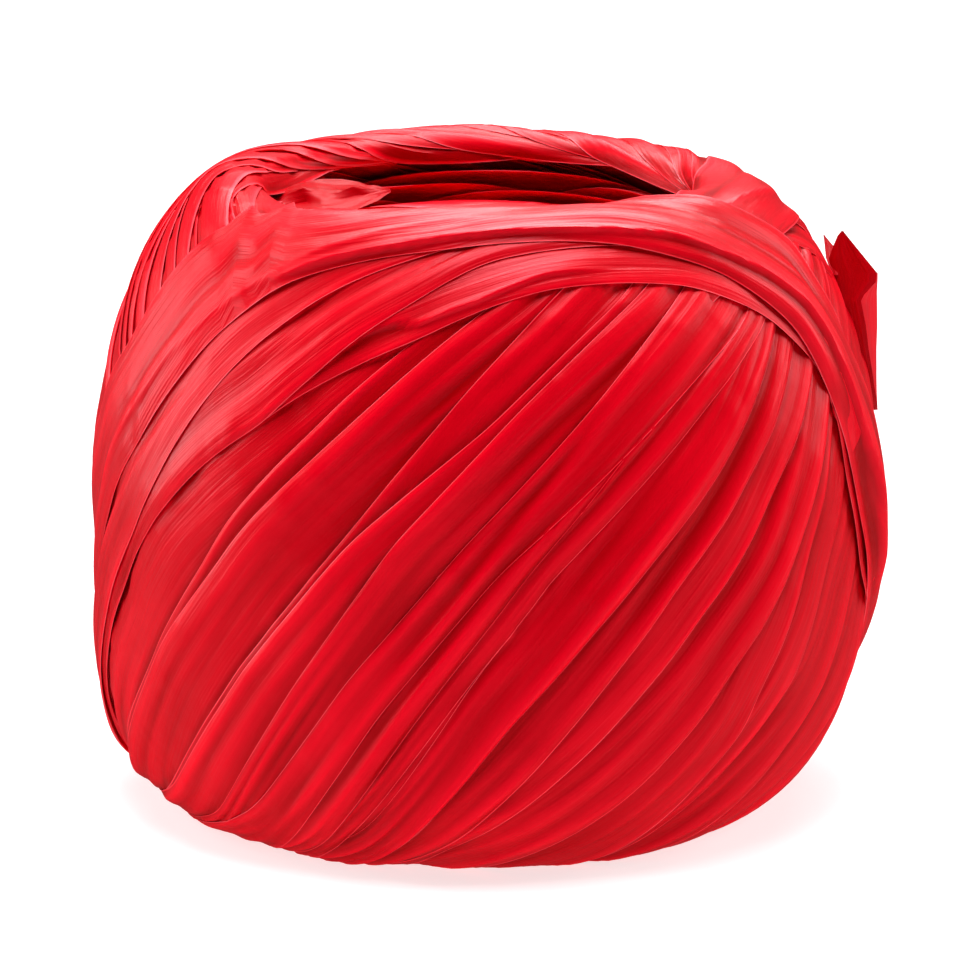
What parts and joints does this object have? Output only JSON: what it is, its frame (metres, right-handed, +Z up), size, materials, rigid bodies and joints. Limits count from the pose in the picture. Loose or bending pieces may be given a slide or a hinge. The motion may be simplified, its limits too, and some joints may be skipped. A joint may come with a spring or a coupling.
{
  "type": "ball of raffia",
  "caption": "Hollow centre-pull ball wound from a strip of glossy film raffia, with slanting turns, wide last turns over the rim and loose ends.",
  "frame": {"origin": "centre of the part's box at its resting face", "axes": "+Z up along the hole through the ball, -Y towards the side where the last turns cross the rim, +X to that side's right"},
  "size_m": [0.102, 0.0988, 0.0799],
  "materials": {
    "film": "satin to glossy thin film, creased lengthwise"
  },
  "bodies": {
    "root": {"ball": "film", "outer_end": "film", "inner_end": "film"}
  },
  "joints": []
}
